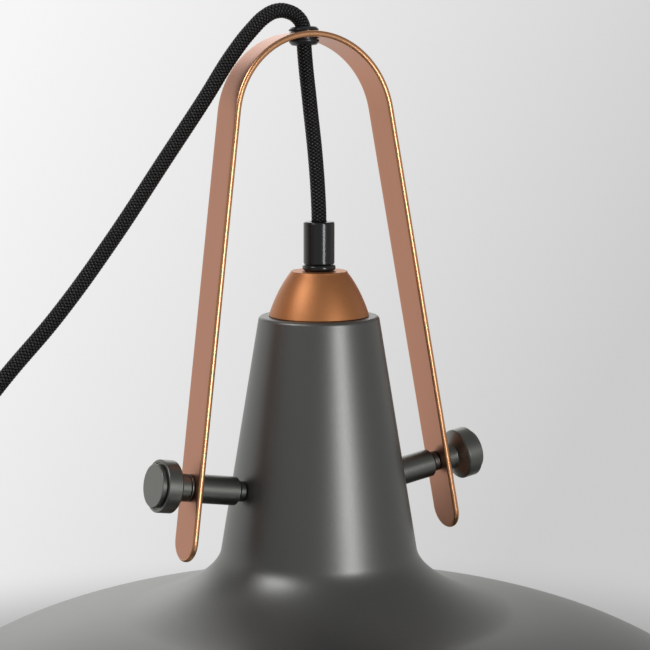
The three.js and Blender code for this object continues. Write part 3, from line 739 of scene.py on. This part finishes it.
def glass_line(inset):
    """The globe from its lowest point up, and its shoulder narrowing into the cap."""
    radius, last = 30 - inset, math.radians(130)
    line = []
    for i in range(33):
        angle = last * i / 32
        line.append((radius * math.sin(angle), 94 - radius * math.cos(angle)))
    start, neck = Vector(line[-1]), 12 - inset
    away = start + Vector((math.cos(last), math.sin(last))) * 9
    return line + bow(start, away, (neck, 124), (neck, 142))[1:]


finish_piece(
    turn(glass_line(0) + list(reversed(glass_line(1.2))), 96),
    "opal_globe", opal_finish(), "bulb", ["bulb_glass"],
)

# --------------------------------------- studs, spacers, washers and knobs
# One set on each side, on an M6 stud that stands square to the neck. Turned
# steel spacer, washer and knob clamp the bail; a washer and a nut hold the
# stud inside the neck. The right spacer is fitted the other way round.


def turning_pattern():
    """Fine rings left by a lathe tool, from a piece's own radius and height."""
    tree, given, result = new_group(
        "turning marks", [("Place", "NodeSocketVector", None), ("Spacing", "NodeSocketFloat", 0.3 * mm)],
        ["Height"],
    )
    parts = add_node(tree, "ShaderNodeSeparateXYZ", {0: given["Place"]}).outputs
    squares = calculate(tree, "ADD", calculate(tree, "MULTIPLY", parts[0], parts[0]),
                        calculate(tree, "MULTIPLY", parts[1], parts[1]))
    radius = calculate(tree, "SQRT", squares)
    along = calculate(tree, "MULTIPLY_ADD", parts[2], 1.37, radius)
    along = calculate(tree, "DIVIDE", along, given["Spacing"])
    noise = add_node(
        tree, "ShaderNodeTexNoise", {"W": along, "Scale": 1.0, "Detail": 2.0}, noise_dimensions="1D"
    )
    tree.links.new(noise.outputs["Fac"], result["Height"])
    return tree


def turned_steel_finish():
    """Dark grey-green turned steel, oiled, with fine lathe rings."""
    material, tree, shader = new_material("turned steel", Metallic=1.0)
    place = add_node(tree, "ShaderNodeAttribute", attribute_name="local").outputs["Vector"]
    marks = add_node(tree, "ShaderNodeGroup", node_tree=turning_pattern())
    tree.links.new(place, marks.inputs["Place"])
    height = marks.outputs["Height"]
    colour = mix_colours(tree, height, (0.145, 0.148, 0.138, 1), (0.225, 0.228, 0.212, 1))
    tree.links.new(colour, shader.inputs["Base Color"])
    rough = calculate(tree, "MULTIPLY_ADD", height, 0.2, 0.28)
    tree.links.new(rough, shader.inputs["Roughness"])
    bump = add_node(tree, "ShaderNodeBump", {"Height": height, "Strength": 0.35, "Distance": 0.03 * mm})
    tree.links.new(bump.outputs[0], shader.inputs["Normal"])
    return material


turned_steel = turned_steel_finish()
stud_bore = 3.3
spacer_length = 23.5
spacer_radius, step_radius, step_length, spacer_chamfer = 6.45, 4.6, 2.8, 1.2
knob_outline = [
    (stud_bore, 28.6, 0.3), (6.15, 28.6, 0.35), (6.15, 32.9, 0.3), (11.1, 35.5, 0.3), (11.7, 36.1, 0.3),
    (11.7, 42.6, 0.5), (10.25, 42.6, 0.15), (10.25, 42.1), (9.6, 42.1), (9.6, 44.8, 0.4), (0, 44.8),
    (0, 40.6), (stud_bore, 39.1),
]

for name, side in (("left", -1), ("right", 1)):
    place = side_frame(side)
    stud = turn([(0, -10), (2.6, -10), (3, -9.5), *straight(3, -9.4, 37.8, 0.17), (2.4, 38.3), (0, 38.3)], 40)
    cut_thread(stud, 3, 1, 0.5)
    finish_piece(stud, f"{name}_m6_stud", zinc, "head", [f"{name}_stud"], place, sharp=70)

    outline = [
        (stud_bore, 0), (step_radius, 0, 0.3), (step_radius, step_length),
        (spacer_radius - spacer_chamfer, step_length),
        (spacer_radius, step_length + spacer_chamfer, 0.3), (spacer_radius, spacer_length, 0.35),
        (stud_bore, spacer_length),
    ]
    turned_round = [(r, spacer_length - z, *edge) for r, z, *edge in outline]
    outline = [(r, z + 0.3, *edge) for r, z, *edge in (outline if side < 0 else turned_round)]
    finish_piece(turn(outline), f"{name}_turned_spacer", turned_steel, "head",
                 [f"{name}_spacer"], place)

    washer = [(stud_bore, -3.5, 0.15), (6, -3.5, 0.15), (6, -2.3, 0.15), (stud_bore, -2.3, 0.15)]
    finish_piece(
        turn(washer), f"{name}_inner_washer", zinc, "head", [f"{name}_stud_washer"], place
    )
    finish_piece(
        nut(10, stud_bore, -8.8, -3.8), f"{name}_m6_nut", zinc, "head",
        [f"{name}_stud_nut"], place,
    )
    washer = [(stud_bore, 27.3, 0.2), (6.15, 27.3, 0.25), (6.15, 28.3, 0.25), (stud_bore, 28.3, 0.2)]
    finish_piece(turn(washer), f"{name}_clamp_washer", turned_steel, f"{name}_clamp",
                 [f"{name}_knob_washer"], place)
    finish_piece(turn(knob_outline, 128), f"{name}_turned_knob", turned_steel,
                 f"{name}_knob", [f"{name}_knob"], place)

# ------------------------------------------------------------------- bail
# A strip of copper-plated steel, 18.6 x 2.8 mm, cut with round ends, drilled
# for the studs and the grommet, bent over a round former and satin finished.
# It hangs from the two studs and leans back a little.

strap_half, strap_thickness, strap_edge = 9.3, 2.8, 1.2
arch_radius, leg_angle, pivot_height, half_width = 41.2, math.radians(8.8), 133.9, 66.2
below_pivot, bail_lean = 32.7, math.radians(3.9)
arch_centre = (half_width * math.cos(leg_angle) - arch_radius) / math.sin(leg_angle)
crown_height = arch_centre + arch_radius
arch_turn = math.pi / 2 - leg_angle
arch_end = arch_radius * arch_turn
stud_distance = arch_end + math.sqrt(half_width**2 + arch_centre**2 - arch_radius**2)
end_distance = stud_distance + below_pivot - strap_half
bail_frame = Matrix.Translation((0, 0, pivot_height * mm)) @ Matrix.Rotation(-bail_lean, 4, "X")


def bend(shape, begin, end, radius, up, cuts=24):
    """Bends both ends of a strip round a roller, from begin on, until the strip beyond end is straight."""
    for i in range(cuts + 1):
        for side in (-1, 1):
            at = side * (begin + (end - begin) * i / cuts)
            bmesh.ops.bisect_plane(
                shape, geom=shape.verts[:] + shape.edges[:] + shape.faces[:], dist=1e-7,
                plane_co=(at * mm, 0, 0), plane_no=(1, 0, 0),
            )
    for v in shape.verts:
        beyond = abs(v.co.x) / mm - begin
        if beyond <= 0:
            continue
        angle = min(beyond, end - begin) / radius
        rest = max(beyond - (end - begin), 0)
        arm = radius - up * v.co.z / mm
        x = begin + arm * math.sin(angle) + rest * math.cos(angle)
        z = up * (radius - arm * math.cos(angle) + rest * math.sin(angle))
        v.co.x, v.co.z = math.copysign(x * mm, v.co.x), z * mm


def round_ended(length, half, count=24):
    """A strip's outline, as long as that to the centres of its round ends on both sides."""
    angles = [math.pi * (i / count - 0.5) for i in range(count + 1)]
    right = [(length + half * math.cos(a), half * math.sin(a)) for a in angles]
    return right + [(-x, -y) for x, y in right]


def strap_copper_finish():
    """Satin copper plate, brushed along the strip, with a painted highlight on its round edges, which are
    also a little smoother.
    """
    material, tree, shader = new_material("strap copper", Metallic=1.0, Roughness=0.36)
    place = add_node(tree, "ShaderNodeAttribute", attribute_name="flat").outputs["Vector"]
    stretched = add_node(tree, "ShaderNodeVectorMath", {0: place, 1: (60, 2600, 2600)}, operation="MULTIPLY")
    lines = {"Vector": stretched.outputs[0], "Scale": 1.0, "Detail": 3.0}
    brushed = add_node(tree, "ShaderNodeTexNoise", lines).outputs["Fac"]
    patches = {"Vector": place, "Scale": 45.0, "Detail": 2.0}
    cloud = add_node(tree, "ShaderNodeTexNoise", patches).outputs["Fac"]
    blush = calculate(tree, "MULTIPLY_ADD", brushed, 0.5, calculate(tree, "MULTIPLY", cloud, 0.5))
    colour = mix_colours(tree, blush, (0.43, 0.2, 0.125, 1), (0.57, 0.285, 0.19, 1))
    rim = add_node(tree, "ShaderNodeAttribute", attribute_name="rim").outputs["Fac"]
    # Painted highlight: the round edges get a lighter copper colour.
    colour = mix_colours(tree, rim, colour, (0.76, 0.39, 0.2, 1))
    tree.links.new(colour, shader.inputs["Base Color"])
    rough = calculate(tree, "MULTIPLY_ADD", blush, 0.2, 0.25)
    rough = calculate(tree, "MULTIPLY_ADD", rim, -0.05, rough)
    tree.links.new(rough, shader.inputs["Roughness"])
    bump = add_node(tree, "ShaderNodeBump", {"Height": brushed, "Strength": 0.12, "Distance": 0.03 * mm})
    tree.links.new(bump.outputs[0], shader.inputs["Normal"])
    return material


strip_outlines = [
    round_ended(end_distance, strap_half),
    circle(3.6, stud_distance), circle(3.6, -stud_distance), circle(6.2),
]
strip = cut_sheet(strip_outlines, -strap_thickness, 0, strap_edge, 5)
flat = strip.verts.layers.float_vector.new("flat")
# The round edges are marked, for the painted highlight and a little less roughness.
rim = strip.verts.layers.float.new("rim")
for v in strip.verts:
    v[flat] = v.co
    v[rim] = 1 if -strap_thickness + 0.01 < v.co.z / mm < -0.01 else 0
bend(strip, 0, arch_end, arch_radius, -1, 32)
finish_piece(
    strip, "copper_bail", strap_copper_finish(), "bail", ["bail"],
    bail_frame @ Matrix.Translation((0, 0, crown_height * mm)),
)

# The grommet: smooth black rubber, with a flange above and below the strap.
rubber = moulded_finish(
    "black rubber", (0.014, 0.015, 0.018, 1), (0.8 * mm, 0.1, 0.03 * mm), Roughness=0.32
)
flange_low, flange_high = crown_height - 3.71, crown_height + 0.3
grommet = [
    (4.6, flange_low - 2.4, 0.4), (5.6, flange_low - 2.4, 0.8), (6.8, flange_low - 1, 0.5),
    (6.8, flange_low, 0.3), (5.9, flange_low), (5.9, flange_high), (6.8, flange_high, 0.3),
    (6.7, flange_high + 0.7, 0.5), (5.6, flange_high + 1.7, 0.8), (4.6, flange_high + 1.7, 0.4),
]
finish_piece(
    turn(grommet, 72), "rubber_grommet", rubber, "bail", ["bail_grommet"], bail_frame
)

# -------------------------------------------------------------- coil tie
# A black rubber strap closed round both layers of the coiled cord, which
# keeps the unused length together.

tie_angle, tie_width, tie_thickness = math.radians(200), 9, 1
coil_section = (coil_high.x - coil_low.x) / mm / 2
turn_radius = coil_section - 6.9


def tie_loop(grow):
    half, low, high, corner = 7.57 + grow, 1.2 - grow, 15.8 + grow, 2.4 + grow
    return [tuple(p) for p in rounded(
        [(-half, low, corner), (half, low, corner), (half, high, corner), (-half, high, corner)], 6
    )]


tie_place = Matrix.Translation((
    coil_centre.x + turn_radius * mm * math.cos(tie_angle),
    coil_centre.y + turn_radius * mm * math.sin(tie_angle), 0,
))
tie_place @= Matrix.Rotation(tie_angle, 4, "Z") @ Matrix.Rotation(math.pi / 2, 4, "X")
tie = finish_piece(
    cut_sheet([tie_loop(tie_thickness), tie_loop(0)], -tie_width / 2, tie_width / 2, 0.3),
    "rubber_tie", rubber, "head", ["coil_tie"], tie_place,
)

# --------------------------------------------------------- ceiling canopy
# A drawn steel cup in the shade's lacquer, standing mouth down, with the
# same grip, nipple and nut as the head. A zinc strip inside it, with ears
# turned up, is what is screwed to the ceiling; two small turned screws hold
# the cup to it. A terminal block lies on the strip.

canopy_place = Matrix.Translation((-290 * mm, -128 * mm, 0))
canopy_radius, canopy_height, canopy_wall, canopy_corner = 50, 25, 1.5, 5
screw_height = 9


def canopy_piece(shape, name, material, node, place=Matrix.Identity(4), sharp=35):
    piece = finish_piece(shape, name, material, "head", [node], canopy_place @ place, sharp)
    return piece


inside, ceiling = canopy_radius - canopy_wall, canopy_height - canopy_wall
cup_outline = [
    (nipple_hole, canopy_height), (canopy_radius, canopy_height, canopy_corner), (canopy_radius, 0, 0.4),
    (inside, 0, 0.4), (inside, ceiling, canopy_corner - canopy_wall), (nipple_hole, ceiling),
]
cup = canopy_piece(turn(cup_outline, 144, 8), "canopy_drawn_cup", lacquer, "canopy_cup")
across = Matrix.Translation((0, 0, screw_height * mm)) @ Matrix.Rotation(math.pi / 2, 4, "Y")
hole = turn([(0, -58), (2.3, -58), (2.3, 58), (0, 58)], 32)
hole.transform(canopy_place @ across)
drill(cup, [hole])

canopy_piece(
    turn(grip_outline(25.3), segments=6), "canopy_cord_grip", black_plastic, "canopy_grip"
)
canopy_piece(threaded_tube(15.5, 32.4), "canopy_m10_nipple", zinc, "canopy_nipple", sharp=70)
canopy_piece(nut(14, nipple_hole, 18.7, 23.2), "canopy_m10_nut", zinc, "canopy_nut")

# The strip is cut flat, with a slot to each side, and its ends are bent up.
bracket_half, ear_height, bracket_thickness, inner_bend = 44, 14, 1.5, 1.2
bend_radius = inner_bend + bracket_thickness
bend_begin = bracket_half - bend_radius
bend_end = bend_begin + bend_radius * math.pi / 2
flat_half = bend_end + ear_height - 0.3 - bend_radius
strip_corners = [(flat_half, -8, 1), (flat_half, 8, 1), (-flat_half, 8, 1), (-flat_half, -8, 1)]
ear_hole = bend_end + screw_height - 0.3 - bend_radius
bracket_outlines = [[tuple(p) for p in rounded(strip_corners)]]
bracket_outlines += [circle(2.4, x, 0, 32) for x in (-26, 26)]
bracket_outlines += [circle(2.3, x, 0, 32) for x in (-ear_hole, ear_hole)]
bracket = cut_sheet(bracket_outlines, 0, bracket_thickness, 0.2)
bend(bracket, bend_begin, bend_end, bend_radius, 1, 8)
canopy_piece(
    bracket, "canopy_ceiling_strip", zinc, "canopy_bracket",
    Matrix.Translation((0, 0, 0.3 * mm)),
)

screw_outline = [
    (0, 41.3), (1.4, 41.3), (2, 42), *straight(2, 42.1, 50, 0.12), (2, 50.3), (4.5, 50.3, 0.3),
    (4.5, 53.8, 0.6), (0, 53.8),
]
for name, side in (("left", -1), ("right", 1)):
    screw = turn(screw_outline, 48)
    cut_thread(screw, 2, 0.7, 0.35)
    lie = Matrix.Translation((0, 0, screw_height * mm)) @ Matrix.Rotation(side * math.pi / 2, 4, "Y")
    canopy_piece(screw, f"{name}_canopy_thumb_screw", turned_steel,
                 f"canopy_screw_{name}", lie, 70)

nylon = moulded_finish(
    "white nylon", (0.78, 0.77, 0.73, 1), (0.9 * mm, 0.1, 0.03 * mm), Roughness=0.45
)
block_outline = [(7.5, -12, 0.8), (7.5, 12, 0.8), (-7.5, 12, 0.8), (-7.5, -12, 0.8)]
wells = [circle(1.8, x, y, 24) for x in (-3.6, 3.6) for y in (-7.6, 0, 7.6)]
canopy_piece(
    cut_sheet([[tuple(p) for p in rounded(block_outline)], *wells], 2.1, 12.1, 0.3),
    "nylon_terminal_block", nylon, "terminal_block",
)

# ----------------------------------------------------------------- studio
# A pale floor that curves up into a far pale wall, and soft daylight: a
# broad bright side behind and to the left with a brighter patch of sky,
# darker to the right and behind the viewer, and a tall strip light in front.
# Away from the lamp the paper glows with painted light, brighter to the left
# and higher up, darker to the right.

bpy.context.scene.view_settings.view_transform = "Standard"
floor_radius, wall_fillet, wall_height = 3.4, 1.6, 6
sweep = bmesh.new()
foot = [sweep.verts.new((0, 0, 0)), sweep.verts.new((0.7, 0, 0)), sweep.verts.new((1.5, 0, 0))]
for i in range(17):
    angle = math.pi / 2 * i / 16
    foot.append(sweep.verts.new((
        floor_radius + wall_fillet * math.sin(angle), 0, wall_fillet * (1 - math.cos(angle))
    )))
foot.append(sweep.verts.new((floor_radius + wall_fillet, 0, wall_height)))
lines = [sweep.edges.new(pair) for pair in zip(foot, foot[1:])]
bmesh.ops.spin(
    sweep, geom=foot + lines, cent=(0, 0, 0), axis=(0, 0, 1), angle=full_turn, steps=96, use_merge=True
)
bmesh.ops.remove_doubles(sweep, verts=sweep.verts, dist=1e-5)
bmesh.ops.recalc_face_normals(sweep, faces=sweep.faces)
bmesh.ops.reverse_faces(sweep, faces=sweep.faces)
sweep_mesh = bpy.data.meshes.new("sweep")
sweep.to_mesh(sweep_mesh)
sweep.free()
sweep_mesh.shade_smooth()
backdrop = bpy.data.objects.new("backdrop", sweep_mesh)
bpy.context.scene.collection.objects.link(backdrop)


def paper_finish():
    """Pale paper: lit near the lamp, and further off glowing with painted light, brighter to the left and
    higher up, darker to the right.
    """
    material, tree, shader = new_material("paper", Roughness=1.0, Specular_IOR_Level=0.0)
    shader.inputs["Base Color"].default_value = (0.7, 0.7, 0.7, 1)
    place = add_node(tree, "ShaderNodeTexCoord").outputs["Object"]
    offset = add_node(tree, "ShaderNodeVectorMath", {0: place, 1: eye}, operation="SUBTRACT").outputs[0]

    def part(axis):
        dot = add_node(tree, "ShaderNodeVectorMath", {0: offset, 1: axis}, operation="DOT_PRODUCT")
        return dot.outputs["Value"]

    forward = Vector((aim.x - eye.x, aim.y - eye.y, 0)).normalized()
    depth = calculate(tree, "MAXIMUM", part(forward), 0.8)
    rightwards = calculate(tree, "DIVIDE", part(Vector((forward.y, -forward.x, 0))), depth)
    upwards = calculate(tree, "DIVIDE", part(Vector((0, 0, 1))), depth)
    # Painted light: the far paper's glow falls off to the right and rises upwards, in place of light falling
    # on it; it glows though it is no lamp.
    level = calculate(tree, "MULTIPLY_ADD", rightwards, -0.95, 0.8)
    level = calculate(tree, "MULTIPLY_ADD", upwards, 0.5, level)
    level = calculate(tree, "MINIMUM", calculate(tree, "MAXIMUM", level, 0.6), 0.93)
    even = add_node(tree, "ShaderNodeEmission", {"Strength": level})
    distance = add_node(tree, "ShaderNodeVectorMath", {0: place}, operation="LENGTH").outputs["Value"]
    share = add_node(
        tree, "ShaderNodeMapRange", {"Value": distance, "From Min": 0.22, "From Max": 0.42},
        interpolation_type="SMOOTHERSTEP",
    ).outputs["Result"]
    mixed = add_node(tree, "ShaderNodeMixShader", {0: share, 1: shader.outputs[0], 2: even.outputs[0]})
    tree.links.new(mixed.outputs[0], tree.nodes["Material Output"].inputs["Surface"])
    return material


sweep_mesh.materials.append(paper_finish())
backdrop.visible_glossy = False
backdrop.visible_diffuse = False
backdrop.visible_shadow = False

world = bpy.data.worlds.new("studio")
bpy.context.scene.world = world
world.use_nodes = True
tree = world.node_tree
background = tree.nodes["Background"]


def levels(value, stops):
    """A smooth run of light levels, given as (position, level) stops."""
    ramp = add_node(tree, "ShaderNodeValToRGB", {"Fac": value})
    ramp.color_ramp.interpolation = "B_SPLINE"
    stones = ramp.color_ramp.elements
    while len(stones) < len(stops):
        stones.new(0.5)
    for stone, (position, level) in zip(stones, stops):
        stone.position, stone.color = position, (level, level, level, 1)
    return ramp.outputs["Color"]


def towards(azimuth, elevation):
    """A direction, from an azimuth in degrees round from +X and a height in degrees."""
    a, e = math.radians(azimuth), math.radians(elevation)
    return Vector((math.cos(a) * math.cos(e), math.sin(a) * math.cos(e), math.sin(e)))


# Round the horizon, from behind the viewer by the right, straight ahead
# (0.5) and the left back to behind: a bright paper wall ahead, dark sides.
direction = add_node(tree, "ShaderNodeTexCoord").outputs["Generated"]
turned_level = add_node(
    tree, "ShaderNodeVectorRotate", {"Vector": direction, "Angle": math.radians(-60)}, rotation_type="Z_AXIS"
)
parts = add_node(tree, "ShaderNodeSeparateXYZ", {0: turned_level.outputs[0]}).outputs
round_about = calculate(tree, "ARCTAN2", parts[1], parts[0])
round_about = calculate(tree, "MULTIPLY_ADD", round_about, 1 / full_turn, 0.5)
horizon = levels(round_about, [
    (0, 0.3), (0.2, 0.3), (0.36, 0.5), (0.48, 0.75), (0.58, 0.92), (0.68, 0.92), (0.74, 0.5),
    (0.8, 0.22), (0.88, 0.24), (0.93, 0.42), (1, 0.3),
])
upward = levels(parts[2], [(0, 1), (0.2, 1), (0.32, 0.8), (0.45, 0.25), (1, 0.2)])
above = calculate(tree, "MULTIPLY_ADD", calculate(tree, "SUBTRACT", horizon, 0.2), upward, 0.2)
facing = add_node(
    tree, "ShaderNodeVectorMath", {0: direction, 1: towards(70, 24)}, operation="DOT_PRODUCT"
).outputs["Value"]
skylight = add_node(
    tree, "ShaderNodeMapRange", {"Value": facing, "From Min": 0.9, "From Max": 0.98},
    interpolation_type="SMOOTHERSTEP",
).outputs["Result"]
tree.links.new(calculate(tree, "MULTIPLY_ADD", skylight, 1.1, above), background.inputs["Strength"])
background.inputs["Color"].default_value = (1.0, 0.995, 0.985, 1)


def add_softbox(name, direction, distance, width, height, power):
    """A rectangular light that faces the lamp's neck."""
    data = bpy.data.lights.new(name, "AREA")
    data.shape = "RECTANGLE"
    data.size, data.size_y, data.energy = width, height, power
    lamp = bpy.data.objects.new(name, data)
    bpy.context.scene.collection.objects.link(lamp)
    neck = Vector((0, 0, 0.15))
    lamp.location = neck + direction * distance
    lamp.rotation_euler = direction.to_track_quat("Z", "Y").to_euler()
    lamp.visible_camera = False
    return lamp


add_softbox("strip", towards(-83, 6), 1.6, 0.3, 0.62, 8.5)
add_softbox("window", towards(180, 45), 2.2, 0.9, 0.9, 16)
